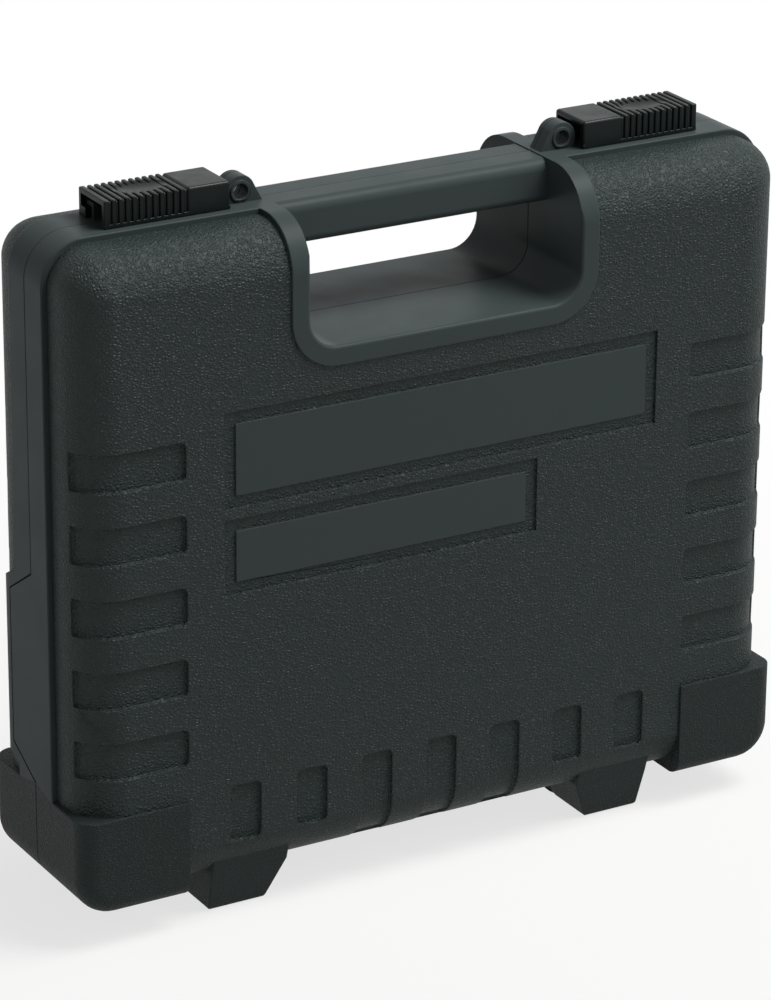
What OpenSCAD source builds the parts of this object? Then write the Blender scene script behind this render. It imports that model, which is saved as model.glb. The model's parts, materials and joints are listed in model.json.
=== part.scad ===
// Carry case for three compact guitar pedals, standing on its two hinge feet.
// X runs across the case, Y through its depth, Z up. The lid is the -Y half.
// The origin is on the floor, under the middle of the parting plane.

/* [Case] */
// Width over the two side rims
case_w = 358; // [340:1:440]
// Height of the rim's top above the floor
case_h = 315; // [300:1:380]
// Depth over the two broad faces
case_d = 88; // [80:1:110]
// Wall thickness of both shells
wall = 3; // [2.6:0.1:3.6]
// Height of the rim's bottom above the floor
foot_h = 15.2; // [12.8:0.1:18]
// Depth of the smooth rim band on each shell
rim_d = 16; // [15:0.5:20]
// How far the rim stands proud of the grained body
rim_step = 2.5; // [1.5:0.1:4]
// Radius of the rim's four corners
rim_r = 20; // [16:1:30]
// Radius that rolls the body's sides over into its broad face
face_r = 22; // [18:1:28]
// Gap between the closed shells
seam_gap = 0.3; // [0.2:0.05:0.4]

/* [Handle] */
// Width of the hand opening
grip_w = 134.6; // [110:0.2:180]
// Depth of the hand opening below the rim's top
grip_depth = 56.7; // [50:0.1:75]
// Radius of the hand opening's lower corners
grip_r = 14; // [8:1:20]
// Width of the smooth band around the hand opening
ring_w = 9; // [6:0.5:12]
// How far that band stands proud of the broad face
ring_step = 1; // [0.5:0.1:1.5]
// Depth of each half of the handle bar
bar_d = 15.5; // [12:0.5:15.5]
// Height of the handle bar
bar_h = 19.5; // [16:0.5:24]
// Radius of the bar's outer top edge
bar_r = 5; // [4:0.5:8]
// Radius of the bar's outer bottom edge
bar_low_r = 4; // [2:0.5:6]
// How far the bar's top lies under the rim's top
bar_drop = 0.5; // [0.2:0.1:1]

/* [Recesses and bumpers] */
// Depth of the pressed-in slots
slot_depth = 1.6; // [0.8:0.1:1.6]
// Height of a side slot
side_slot_h = 16.9; // [12:0.1:20]
// Spacing of the slots, side and bottom
slot_pitch = 33; // [28:0.5:36]
// Half the width between the side slots, and between the corner bumpers
slot_in_x = 126.8; // [120:0.1:140]
// How far a slot runs back round the edge from the broad face
slot_wrap = 14; // [8:0.5:16]
// Height of the top side slot's upper edge
side_slot_top = 227.5; // [210:0.5:250]
// Radius of the slots' corners
slot_r = 2.5; // [1:0.1:4]
// Width of a bottom slot
low_slot_w = 14.9; // [10:0.1:18]
// Height of the bottom slots' upper edge
low_slot_top = 63.6; // [55:0.1:70]
// Height at which the bottom slots over the feet close
low_slot_shut = 37; // [34:0.5:42]
// Height of the corner bumpers' upper edge
bumper_top = 61.4; // [50:0.1:70]
// How far a bumper stands proud of the broad face
bumper_step = 1.1; // [0.4:0.1:1.5]
// Radius of a bumper's rolled edges
bumper_r = 9; // [6:0.5:12]
// Radius of the bumpers' bottom corners, seen from the front
bumper_corner_r = 17; // [12:1:22]

/* [Blank name panels] */
// Half the width of the upper panel
panel_half_w = 108.5; // [80:0.5:115]
// Distance from the hand opening's floor down to the upper panel
panel_drop = 21.3; // [14:0.1:30]
// Height of the upper panel
panel_h = 43.7; // [30:0.1:50]
// Right-hand end of the lower panel
small_panel_x = 47.1; // [20:0.1:90]
// Face left between the two panels
panel_space = 5.1; // [3:0.1:12]
// Height of the lower panel
small_panel_h = 34.4; // [20:0.1:36]
// Depth of both panels
panel_depth = 1.1; // [0.6:0.1:1.4]
// Margin of floor around the plain raised plate in each panel
plate_margin = 5.5; // [3:0.5:9]

/* [Side tabs of the lid] */
// Height at which a tab's upper edge leaves the parting plane
tab_top = 162.4; // [140:0.1:180]
// Height at which a tab's lower edge leaves the parting plane
tab_low = 64.5; // [62:0.1:80]
// How far a tab's upper edge falls by its end, so that it swings out freely
tab_top_slope = 13.9; // [6:0.1:20]
// How far a tab's lower edge rises by its end
tab_low_slope = 11.7; // [4:0.1:20]
// How far a tab reaches past the parting plane
tab_reach = 21.5; // [18:0.5:24]
// Width of the base's raised border round a tab
tab_border = 5; // [3:0.5:7]

/* [Feet and hinge] */
// Inner edge of a foot's tread
foot_in_x = 84; // [70:0.5:90]
// Outer edge of a foot's tread
foot_out_x = 112; // [105:0.5:118]
// How far the tread reaches from the parting plane
foot_reach = 32.4; // [24:0.2:36]
// How far a foot's inner side flares out
foot_flare_in = 8.5; // [6:0.5:18]
// How far a foot's outer side flares out
foot_flare_out = 1.2; // [0.5:0.1:8]
// Height over which both sides flare
foot_flare_z = 20; // [14:1:24]
// Height at which a foot runs into the body
foot_top = 28; // [26:1:36]
// Foot cut back under the hinge axis: the lid opens by 180 degrees less twice the cut's slope
relief_y = 9; // [8.5:0.5:12]
// Diameter of the hinge pins
pin_d = 4; // [3:0.1:5]
// Diameter of the hinge knuckles, which touch the floor
knuckle_d = 12; // [10:0.5:13]
// Radial clearance of a pin in the lid's knuckle
pin_fit = 0.05; // [0.02:0.01:0.1]
// Radial clearance round a knuckle
knuckle_gap = 0.3; // [0.2:0.1:0.6]
// Clearance between the ends of two knuckles
knuckle_end = 0.4; // [0.2:0.1:0.8]

/* [Slide latches] */
// Length of a slider
latch_l = 59.4; // [50:0.2:64]
// Width of a slider across the parting plane
latch_w = 24; // [22:0.5:28]
// Height of a slider
latch_h = 12.2; // [11.5:0.1:14]
// Gap between a padlock lug and the slider beside it
latch_gap = 0.5; // [0.4:0.1:2]
// Wall thickness of a slider
latch_wall = 2.2; // [1.8:0.1:2.6]
// Travel of a slider, outwards
latch_travel = 14; // [10:0.5:15]
// Clearance between a slider and its rails
latch_fit = 0.35; // [0.3:0.05:0.5]
// Height of the rails' lips above the rim
lip_rise = 5.2; // [4.5:0.1:6]
// Thickness of the rails and their lips
rail_t = 2; // [1.6:0.1:2.4]
// Spacing of the finger ribs on a slider
rib_pitch = 3.2; // [2.6:0.1:4]
// Number of grooves between the finger ribs
rib_count = 12; // [4:1:12]
// Depth of the grooves between the ribs
rib_depth = 0.9; // [0.4:0.1:1.2]
// Width of the grooves between the ribs
rib_gap = 1.1; // [0.6:0.1:1.4]
// Distance from the side of the hand opening to a padlock hole
lug_offset = 12.8; // [10:0.1:16]
// Height of a padlock hole above the rim
lug_rise = 4.9; // [4.6:0.1:6]
// Diameter of the padlock holes
lug_hole_d = 6.8; // [5:0.1:8]
// Outer radius of the padlock lugs
lug_r = 7.2; // [6.4:0.1:7.4]
// Thickness of the lid's lug
lid_lug_t = 6.1; // [4:0.1:7]
// Thickness of the base's lug
base_lug_t = 3.2; // [2.5:0.1:5]
// Width of the raised ring round a padlock hole
lug_ring_w = 1.4; // [0.8:0.1:2]
// How far that ring stands proud of the lug
lug_ring_rise = 0.5; // [0.3:0.1:0.8]

/* [Foam] */
// Clearance between the foam and the shells
foam_fit = 0.3; // [0.3:0.1:1]
// Thickness of the base's backing sheet
backing_t = 8; // [5:1:12]
// Distance from the parting plane to the face of the tray
tray_face = 3; // [1:0.5:6]
// Thickness of the lid's foam
lid_foam_t = 14; // [8:1:16]
// Width of a pedal pocket
pocket_w = 76; // [72:1:92]
// Length of a pedal pocket
pocket_l = 132; // [120:1:160]
// Foam left between two pedal pockets
pocket_web = 24; // [8:1:24]
// Lower edge of the pedal pockets
pocket_low = 68; // [64:1:80]
// Width of the two upper accessory pockets
side_pocket_w = 66; // [40:1:70]
// Height of the two upper accessory pockets
side_pocket_h = 78; // [40:1:80]
// Height of the cable slot under the pedal pockets
cable_slot_h = 24; // [15:1:28]

/* [Hidden] */
$fn = 48;

shell_colour = "#30363a";
latch_colour = "#1b1f20";
steel_colour = "#b8bcc0";
foam_colour = "#3a3c40";

// A length past every outside face, for cutters
far = 300;
// Overshoot of a cutter past the face it opens
eps = 1;

body_w = case_w - 2 * rim_step;
body_low = foot_h + rim_step;
body_high = case_h - rim_step;
body_r = rim_r - rim_step;
half_d = case_d / 2;
bumper_y = half_d + bumper_step;
grip_x = grip_w / 2;
grip_floor = case_h - grip_depth;
bar_low = case_h - bar_drop - bar_h;
panel_low = grip_floor - panel_drop - panel_h;
small_panel_low = panel_low - panel_space - small_panel_h;

axis_z = knuckle_d / 2;
knuckle_l = (foot_out_x - foot_in_x) / 3;
foot_x0 = foot_in_x - foot_flare_in;
foot_x1 = foot_out_x + foot_flare_out;
// Depth at which a foot's raked front runs into the rolled lower edge of the body
foot_top_y = half_d - face_r - 0.05 + sqrt(pow(face_r, 2) - pow(max(0, body_low + face_r - foot_top), 2));

lug_x = grip_x + lug_offset;
lug_z = case_h + lug_rise;
latch_in_x = lug_x + lug_r + latch_gap;
latch_out_x = latch_in_x + latch_l;
latch_low = case_h + latch_fit;
latch_high = latch_low + latch_h;
rail_y = 3;
rail_in = latch_in_x + 3;
rail_out = latch_out_x - 2.5;
lip_y = latch_w / 2 - latch_wall - latch_fit;
lip_z = case_h + lip_rise;
hook_y = rail_y + rail_t + 2 * latch_fit;
hook_l = latch_travel - 3;
hook_starts = [latch_in_x + 4.5, latch_in_x + 4.5 + 2 * latch_travel];
stop_rib = 3;
stop_x = latch_in_x + 1 + stop_rib + latch_travel + 0.5;

foam_back = half_d - wall;
pocket_pitch = pocket_w + pocket_web;
side_pocket_x = grip_x + wall + foam_fit + 10;
side_pocket_z = body_high - wall - 12 - side_pocket_h;
cable_slot_z = pocket_low - 14 - cable_slot_h;

// ---- plain shapes --------------------------------------------------------

// Rounded rectangle about the origin, with exact arcs
module rounded(w, h, r) {
    square([w - 2 * r, h], center = true);
    square([w, h - 2 * r], center = true);
    for (sx = [-1, 1], sy = [-1, 1])
        translate([sx * (w / 2 - r), sy * (h / 2 - r)]) circle(r);
}

// Prism along Y of a rounded rectangle in XZ, centred on X = 0
module prism_y(w, z0, z1, r, y0, y1) {
    translate([0, y1, (z0 + z1) / 2]) rotate([90, 0, 0]) linear_extrude(y1 - y0) rounded(w, z1 - z0, r);
}

// Prism along X of a rounded rectangle in YZ
module prism_x(d, z0, z1, r) {
    translate([-far, 0, (z0 + z1) / 2]) rotate([90, 0, 90]) linear_extrude(2 * far) rounded(d, z1 - z0, r);
}

// Prism along Z of a rounded rectangle in XY
module prism_z(w, d, r) {
    translate([0, 0, -far]) linear_extrude(3 * far) rounded(w, d, r);
}

// Block of depth d with upright corners of radius r, and an edge of radius er rolled round its faces
module rolled_block(w, z0, z1, d, r, er) {
    difference() {
        intersection() {
            prism_x(d, z0, z1, er);
            prism_z(w, d, er);
        }
        rolled_corners(w, z0, z1, r) translate([0, -far, 0]) cube([r + eps, 2 * far, r + eps]);
    }
    rolled_corners(w, z0, z1, r) intersection() {
        rotate([90, 0, 0]) rotate_extrude() rolled_profile(r, er, d);
        translate([0, -far, 0]) cube([r + eps, 2 * far, r + eps]);
    }
}

// Its child at each corner of a block, with the corner towards +X and +Z
module rolled_corners(w, z0, z1, r) {
    for (sx = [0, 1], sz = [0, 1]) translate([0, 0, (z0 + z1) / 2]) mirror([sx, 0, 0]) mirror([0, 0, sz])
        translate([w / 2 - r, 0, (z1 - z0) / 2 - r]) children();
}

// Profile of a corner from its axis outwards: an edge of radius er on a disc of radius r
module rolled_profile(r, er, d) {
    intersection() {
        union() {
            for (s = [-1, 1]) translate([r - er, s * (d / 2 - er)]) circle(er);
            translate([0, er - d / 2]) square([r, d - 2 * er]);
            if (er < r) translate([0, -d / 2]) square([r - er, d]);
        }
        translate([0, -d / 2]) square([r, d]);
    }
}

// Box between two corners
module box(a, b) {
    translate(a) cube(b - a);
}

// Prism along X of a polygon given as [y, z] points
module slab_x(points, x0, x1) {
    translate([x0, 0, 0]) rotate([90, 0, 90]) linear_extrude(x1 - x0) polygon(points);
}

// Both sides of the case
module both_sides() {
    children();
    mirror([1, 0, 0]) children();
}

// ---- shells --------------------------------------------------------------

// The grained body with all its edges rolled over, grown by g
module body_block(g) {
    rolled_block(body_w + 2 * g, body_low - g, body_high + g, case_d + 2 * g, body_r + g, face_r + g);
}

// The hand opening, open at the top of the case, grown by g
module grip_block(g) {
    prism_y(grip_w + 2 * g, grip_floor - g, case_h + far, grip_r + g, -far, far);
}

// The smooth band round the hand opening, level with the rim at the top
module ring() {
    intersection() {
        grip_block(ring_w);
        prism_x(case_d + 2 * ring_step, body_low, case_h, face_r + ring_step);
        box([-far, -far, grip_floor - 2 * ring_w], [far, far, case_h]);
    }
}

// A corner bumper at the right-hand bottom corner
module bumper() {
    intersection() {
        rolled_block(case_w, foot_h, case_h, 2 * bumper_y, bumper_corner_r, bumper_r);
        box([slot_in_x, -far, 0], [far, far, bumper_top]);
    }
}

// One half of a foot, with flared sides and a raked front
module foot() {
    intersection() {
        translate([0, far, 0]) rotate([90, 0, 0]) linear_extrude(2 * far)
            polygon([[foot_in_x, 0], [foot_out_x, 0], [foot_x1, foot_flare_z], [foot_x1, foot_top],
                     [foot_x0, foot_top], [foot_x0, foot_flare_z]]);
        slab_x([[0, 0], [foot_reach, 0], [foot_top_y, foot_top], [0, foot_top]], 0, far);
    }
}

// The relief under the hinge axis that lets the two half feet fold towards each other
module foot_relief() {
    slab_x([[-eps, axis_z], [0, axis_z], [relief_y, 0], [relief_y, -eps], [-eps, -eps]],
           foot_x0 - eps, foot_x1 + eps);
}

// A length of cylinder on the hinge axis
module on_axis(d, x0, x1) {
    translate([x0, 0, axis_z]) rotate([0, 90, 0]) cylinder(d = d, h = x1 - x0);
}

// Slots pressed into the sides and the lower edge
module slots() {
    difference() {
        union() {
            for (i = [0:4]) both_sides() {
                slot_cutter(slot_in_x, case_w, side_slot_top - i * slot_pitch - side_slot_h,
                            side_slot_top - i * slot_pitch);
            }
            for (i = [-3:3]) {
                x = i * slot_pitch;
                low = abs(i) < 2 ? -case_h : low_slot_shut;
                slot_cutter(x - low_slot_w / 2, x + low_slot_w / 2, low, low_slot_top);
            }
        }
        body_block(-slot_depth);
    }
}

// Cutter for one slot, with rounded corners
module slot_cutter(x0, x1, z0, z1) {
    translate([(x0 + x1) / 2, far, (z0 + z1) / 2]) rotate([90, 0, 0])
        linear_extrude(far - half_d + slot_wrap) rounded(x1 - x0, z1 - z0, slot_r);
}

// Section of one half of the handle bar, inset by g
module bar_section(g) {
    d = bar_d - g;
    h = bar_h - 2 * g;
    top_r = bar_r - g;
    low_r = bar_low_r - min(g, bar_low_r - 1);
    translate([0, g]) {
        square([d - top_r, h]);
        translate([0, low_r]) square([d, h - low_r - top_r]);
        square([d - low_r, h - top_r]);
        translate([d - top_r, h - top_r]) circle(top_r);
        translate([d - low_r, low_r]) circle(low_r);
    }
}

// One half of the handle bar, a channel open at the parting plane
module bar_half() {
    bury = wall / 2;
    translate([-grip_x - bury, 0, bar_low]) rotate([90, 0, 90]) difference() {
        linear_extrude(grip_w + 2 * bury) bar_section(0);
        translate([0, 0, bury]) linear_extrude(grip_w) bar_section(wall);
    }
}

// What a shell holds open inside
module shell_cavity() {
    difference() {
        union() {
            body_block(-wall);
            prism_y(case_w - 2 * wall, foot_h + wall, case_h - wall, rim_r - wall,
                    wall - rim_d, rim_d - wall);
        }
        grip_block(wall);
    }
}

// The +Y half of the case, as both shells share it
module half_shell() {
    difference() {
        union() {
            difference() {
                union() {
                    body_block(0);
                    prism_y(case_w, foot_h, case_h, rim_r, -rim_d, rim_d);
                    ring();
                    both_sides() bumper();
                    both_sides() foot();
                }
                shell_cavity();
                grip_block(0);
                slots();
                both_sides() foot_relief();
            }
            bar_half();
        }
        box([-far, -far, -far], [far, seam_gap / 2, 2 * far]);
    }
}

// Rail along the rim under the right-hand slider: an upright with an outward lip
module rail(x0, x1) {
    box([x0, rail_y, case_h - eps], [x1, rail_y + rail_t, lip_z + rail_t]);
    box([x0, rail_y, lip_z], [x1, lip_y, lip_z + rail_t]);
}

// Padlock lug beside the right-hand latch, from the parting plane to depth t
module lug(t) {
    x_toe = grip_x + 1.5;
    translate([0, t, 0]) rotate([90, 0, 0]) linear_extrude(t - seam_gap / 2) difference() {
        union() {
            translate([lug_x, lug_z]) circle(lug_r);
            polygon([[x_toe, case_h - eps], [lug_x + lug_r, case_h - eps], [lug_x + lug_r, lug_z],
                     [lug_x - lug_r * cos(35), lug_z + lug_r * sin(35)]]);
        }
        translate([lug_x, lug_z]) circle(d = lug_hole_d);
    }
}

// Raised ring round a padlock hole, on a lug of thickness t
module lug_ring(t) {
    translate([lug_x, t + lug_ring_rise, lug_z]) rotate([90, 0, 0])
        linear_extrude(2 * lug_ring_rise) difference() {
            circle(lug_hole_d / 2 + lug_ring_w);
            circle(d = lug_hole_d);
        }
}

// The side tab's outline in YZ, grown by g at its edges
module tab_outline(g) {
    end = tab_reach + g;
    polygon([[-eps, tab_low - g], [0, tab_low - g], [end, tab_low + tab_low_slope - g],
             [end, tab_top - tab_top_slope + g], [0, tab_top + g], [-eps, tab_top + g]]);
}

// The raised border round a tab on the base, level with the rim
module tab_frame() {
    x0 = body_w / 2 - wall / 2;
    difference() {
        intersection() {
            translate([x0, 0, 0]) rotate([90, 0, 90]) linear_extrude(case_w / 2 - x0) tab_outline(tab_border);
            prism_z(case_w, case_d, face_r);
            box([0, seam_gap / 2, 0], [far, far, case_h]);
        }
        box([0, 0, 0], [case_w / 2 - wall, rim_d - wall, case_h]);
    }
}

module base_shell() {
    color(shell_colour) difference() {
        union() {
            half_shell();
            both_sides() {
                rail(rail_in, rail_out);
                box([stop_x, rail_y, case_h],
                    [stop_x + stop_rib, rail_y + rail_t, latch_high - latch_wall - latch_fit]);
                tab_frame();
                lug(base_lug_t);
                lug_ring(base_lug_t);
                on_axis(knuckle_d, foot_in_x, foot_in_x + knuckle_l - knuckle_end / 2);
                on_axis(knuckle_d, foot_out_x - knuckle_l + knuckle_end / 2, foot_out_x);
            }
        }
        both_sides() {
            on_axis(knuckle_d + 2 * knuckle_gap, foot_in_x + knuckle_l - knuckle_end / 2,
                    foot_out_x - knuckle_l + knuckle_end / 2);
            on_axis(pin_d, foot_x0 - eps, foot_x1 + eps);
            translate([case_w / 2 - wall - foam_fit, 0, 0]) rotate([90, 0, 90])
                linear_extrude(far) tab_outline(foam_fit);
        }
    }
}

module lid_shell() {
    color(shell_colour) mirror([0, 1, 0]) difference() {
        union() {
            half_shell();
            both_sides() {
                for (x = hook_starts) rail(x - 0.5, x + hook_l + 0.5);
                lug(lid_lug_t);
                lug_ring(lid_lug_t);
                on_axis(knuckle_d, foot_in_x + knuckle_l + knuckle_end / 2,
                        foot_out_x - knuckle_l - knuckle_end / 2);
                mirror([0, 1, 0]) translate([case_w / 2 - wall, 0, 0]) rotate([90, 0, 90])
                    linear_extrude(wall) tab_outline(0);
            }
        }
        both_sides() {
            on_axis(knuckle_d + 2 * knuckle_gap, foot_x0 - eps, foot_in_x + knuckle_l + knuckle_end / 2);
            on_axis(knuckle_d + 2 * knuckle_gap, foot_out_x - knuckle_l - knuckle_end / 2, foot_x1 + eps);
            on_axis(pin_d + 2 * pin_fit, foot_in_x, foot_out_x);
        }
        name_panel(-panel_half_w, panel_half_w, panel_low, panel_h);
        name_panel(-panel_half_w, small_panel_x, small_panel_low, small_panel_h);
    }
}

// Cutter for a blank panel: a sunk floor round a plain plate left standing
module name_panel(x0, x1, z, h) {
    m = plate_margin;
    difference() {
        box([x0, half_d - panel_depth, z], [x1, half_d + eps, z + h]);
        box([x0 + m, half_d - 2 * panel_depth, z + m], [x1 - m, half_d - 0.3, z + h - m]);
    }
}

// ---- latches and pins ----------------------------------------------------

// The grooves and the thumb hollow on the right-hand slider
module slider_grip() {
    first_rib = 3.8;
    thumb_x = latch_out_x - 22.5;
    thumb_l = 14;
    thumb_w = 12;
    thumb_depth = 1.1;
    for (i = [0:rib_count - 1]) difference() {
        translate([latch_out_x - first_rib - i * rib_pitch, -latch_w, latch_low + 1.6])
            cube([rib_gap, 2 * latch_w, latch_h]);
        box([0, -latch_w / 2 + rib_depth, 0], [far, latch_w / 2 - rib_depth, latch_high - rib_depth]);
    }
    translate([thumb_x, 0, latch_high - thumb_depth]) {
        for (s = [-1, 1]) translate([s * thumb_l / 2, 0, 0]) cylinder(d = thumb_w, h = thumb_w);
        translate([-thumb_l / 2, -thumb_w / 2, 0]) cube([thumb_l, thumb_w, thumb_w]);
    }
}

// The right-hand slider: an inverted channel with hooks under both rails' lips
module slider() {
    y = latch_w / 2;
    in_y = y - latch_wall;
    root_y = in_y + 0.1;
    hook_z = lip_z - latch_fit;
    difference() {
        box([latch_in_x, -y, latch_low], [latch_out_x, y, latch_high]);
        box([latch_in_x - eps, -in_y, latch_low - eps], [latch_out_x + eps, in_y, latch_high - latch_wall]);
        slider_grip();
    }
    box([latch_in_x, hook_y, latch_low], [latch_out_x, root_y, hook_z]);
    for (x = hook_starts) box([x, -root_y, latch_low], [x + hook_l, -hook_y, hook_z]);
    box([latch_in_x + 1, rail_y - 1.5, lip_z + rail_t + latch_fit],
        [latch_in_x + 1 + stop_rib, rail_y + rail_t + 1, latch_high - latch_wall + 0.1]);
}

module latch_slider_right() {
    color(latch_colour) slider();
}

module latch_slider_left() {
    color(latch_colour) mirror([1, 0, 0]) slider();
}

module hinge_pin_right() {
    color(steel_colour) on_axis(pin_d, foot_in_x + 0.5, foot_out_x - 0.5);
}

module hinge_pin_left() {
    mirror([1, 0, 0]) hinge_pin_right();
}

// ---- foam ----------------------------------------------------------------

// The space in a shell that foam may fill, between two depths
module foam_slab(y0, y1) {
    intersection() {
        body_block(-wall - foam_fit);
        box([-far, y0, 0], [far, y1, 2 * far]);
        difference() {
            box([-far, -far, 0], [far, far, 2 * far]);
            grip_block(wall + foam_fit);
        }
    }
}

module base_foam_backing() {
    color(foam_colour) foam_slab(foam_back - backing_t, foam_back - foam_fit);
}

module base_foam_tray() {
    y0 = tray_face;
    y1 = foam_back - backing_t - foam_fit;
    color(foam_colour) difference() {
        foam_slab(y0, y1);
        for (i = [-1:1]) translate([i * pocket_pitch - pocket_w / 2, 0, pocket_low])
            cube([pocket_w, far, pocket_l]);
        both_sides() translate([side_pocket_x, 0, side_pocket_z]) cube([side_pocket_w, far, side_pocket_h]);
        translate([-pocket_pitch - pocket_w / 2, 0, cable_slot_z])
            cube([2 * pocket_pitch + pocket_w, far, cable_slot_h]);
    }
}

module lid_foam_pad() {
    color(foam_colour) foam_slab(-foam_back + foam_fit, -foam_back + lid_foam_t);
}

base_shell();
lid_shell();
latch_slider_left();
latch_slider_right();
hinge_pin_left();
hinge_pin_right();
base_foam_backing();
base_foam_tray();
lid_foam_pad();
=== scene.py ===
"""Looks of a black moulded carry case for three guitar pedals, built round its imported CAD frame.

The shells are the CAD halves with their moulded edges rounded and their grain laid on. The slide
latches and the foams are modelled here. Lengths are in metres in the frame's own axes: X across
the case, the lid towards -Y, Z up, the floor at zero.
"""

import json
import logging
import math
from collections.abc import Iterable
from dataclasses import dataclass, field
from enum import Enum

import bmesh
import bpy
from mathutils import Matrix, Vector

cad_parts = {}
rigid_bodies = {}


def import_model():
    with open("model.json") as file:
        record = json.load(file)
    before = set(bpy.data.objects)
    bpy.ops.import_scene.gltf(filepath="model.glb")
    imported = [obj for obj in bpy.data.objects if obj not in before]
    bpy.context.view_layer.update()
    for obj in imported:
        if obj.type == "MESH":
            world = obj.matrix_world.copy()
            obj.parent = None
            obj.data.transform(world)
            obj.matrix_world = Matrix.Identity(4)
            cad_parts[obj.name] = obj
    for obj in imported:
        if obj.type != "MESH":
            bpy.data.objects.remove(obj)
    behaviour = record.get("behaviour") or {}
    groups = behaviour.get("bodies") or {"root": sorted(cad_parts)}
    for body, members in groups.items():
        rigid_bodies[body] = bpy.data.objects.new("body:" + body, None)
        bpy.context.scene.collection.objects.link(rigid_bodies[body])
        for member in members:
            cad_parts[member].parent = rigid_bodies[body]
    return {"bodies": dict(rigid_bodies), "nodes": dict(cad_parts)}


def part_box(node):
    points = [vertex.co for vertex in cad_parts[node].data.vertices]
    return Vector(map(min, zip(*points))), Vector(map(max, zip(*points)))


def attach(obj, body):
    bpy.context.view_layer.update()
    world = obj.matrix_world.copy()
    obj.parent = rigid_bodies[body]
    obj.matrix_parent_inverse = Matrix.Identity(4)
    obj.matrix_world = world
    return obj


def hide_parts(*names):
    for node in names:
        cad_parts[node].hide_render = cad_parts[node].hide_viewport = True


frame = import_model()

LOG = logging.getLogger("pedal_case")
MM = 0.001
# Vertices nearer than this are one corner.
WELD = 0.002 * MM
# A flat CAD face keeps to its plane within this, and a line within the next.
TRACE = 0.05 * MM
HAIR = 0.1 * MM
# The facets of a curved CAD face, and the edges between them, stray from its skin by this much.
STRAY = 0.3 * MM
# Half the strip that counts as the parting plane.
SEAM = 0.4 * MM
# Nearly all of a fractal noise's values lie between these.
NOISE_RANGE = (0.3, 0.7)


# ---- colours and nodes ---------------------------------------------------------------------


def linear(code: str) -> tuple[float, float, float, float]:
    """Turns an sRGB hex colour into the linear values that shaders use.

    Args:
        code: Six hex digits after a hash, as a paint maker would give them.

    Returns:
        Red, green, blue and a full alpha.
    """
    parts = [int(code[i : i + 2], 16) / 255 for i in (1, 3, 5)]
    red, green, blue = (p / 12.92 if p <= 0.04045 else ((p + 0.055) / 1.055) ** 2.4 for p in parts)
    return (red, green, blue, 1.0)


def add_node(
    tree: bpy.types.NodeTree,
    kind: str,
    settings: dict[str, object] | None = None,
    inputs: dict[str | int, object] | None = None,
) -> bpy.types.Node:
    """Adds one node with its settings, values and links.

    Args:
        tree: The node tree that gets the node.
        kind: Blender's name for the node type, without its ShaderNode prefix.
        settings: Attributes of the node by name.
        inputs: Its input sockets by name or number, each with a value or another node's output.

    Returns:
        The new node.
    """
    node = tree.nodes.new("ShaderNode" + kind)
    for name, value in (settings or {}).items():
        setattr(node, name, value)
    for key, value in (inputs or {}).items():
        if isinstance(value, bpy.types.NodeSocket):
            tree.links.new(value, node.inputs[key])
        else:
            node.inputs[key].default_value = value
    return node


def empty_material(name: str) -> bpy.types.Material:
    """Makes a material with nothing in its node tree.

    Args:
        name: The material's name.

    Returns:
        The empty material.
    """
    material = bpy.data.materials.new(name)
    material.use_nodes = True
    material.node_tree.nodes.clear()
    return material


def noise(
    tree: bpy.types.NodeTree,
    place: bpy.types.NodeSocket,
    size: float,
    detail: float = 2.0,
    output: str = "Fac",
) -> bpy.types.NodeSocket:
    """Adds fractal noise.

    Args:
        tree: The node tree that gets it.
        place: Where the noise is read.
        size: Size of its largest patches, in the units of the place.
        detail: How many finer layers lie over them.
        output: The output that is wanted, Fac or Color.

    Returns:
        That output.
    """
    inputs = {"Vector": place, "Scale": 1 / size, "Detail": detail}
    return add_node(tree, "TexNoise", {}, inputs).outputs[output]


def remap(
    tree: bpy.types.NodeTree,
    value: bpy.types.NodeSocket,
    source: tuple[float, float] = (0.0, 1.0),
    target: tuple[float, float] = (0.0, 1.0),
    smooth: bool = False,
) -> bpy.types.NodeSocket:
    """Maps one range of values onto another.

    Args:
        tree: The node tree that gets the node.
        value: The value to map.
        source: The range that it comes from.
        target: The range that it goes to.
        smooth: Whether the ends run out softly.

    Returns:
        The mapped value.
    """
    settings = {"interpolation_type": "SMOOTHSTEP"} if smooth else {}
    ends = ("From Min", "From Max", "To Min", "To Max")
    inputs = {"Value": value, **dict(zip(ends, (*source, *target)))}
    return add_node(tree, "MapRange", settings, inputs).outputs["Result"]


def add_scaled(
    tree: bpy.types.NodeTree,
    extra: bpy.types.NodeSocket,
    weight: float,
    base: bpy.types.NodeSocket,
) -> bpy.types.NodeSocket:
    """Adds one value, times a weight, to another.

    Args:
        tree: The node tree that gets the node.
        extra: The value that is weighted.
        weight: Its weight.
        base: The value that it is added to.

    Returns:
        The sum.
    """
    inputs = {0: extra, 1: weight, 2: base}
    return add_node(tree, "Math", {"operation": "MULTIPLY_ADD"}, inputs).outputs[0]


def surface(
    tree: bpy.types.NodeTree,
    height: bpy.types.NodeSocket,
    relief: float,
    inputs: dict[str | int, object],
) -> None:
    """Ends a material with a principled shader on a bumped surface.

    Args:
        tree: The material's node tree.
        height: Height of the surface, from zero to one.
        relief: What a height of one is in metres.
        inputs: The shader's other inputs.
    """
    bump = add_node(tree, "Bump", {}, {"Height": height, "Distance": relief})
    shader = add_node(tree, "BsdfPrincipled", {}, {**inputs, "Normal": bump.outputs["Normal"]})
    add_node(tree, "OutputMaterial", {}, {"Surface": shader.outputs["BSDF"]})


# ---- finishes ------------------------------------------------------------------------------


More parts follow.
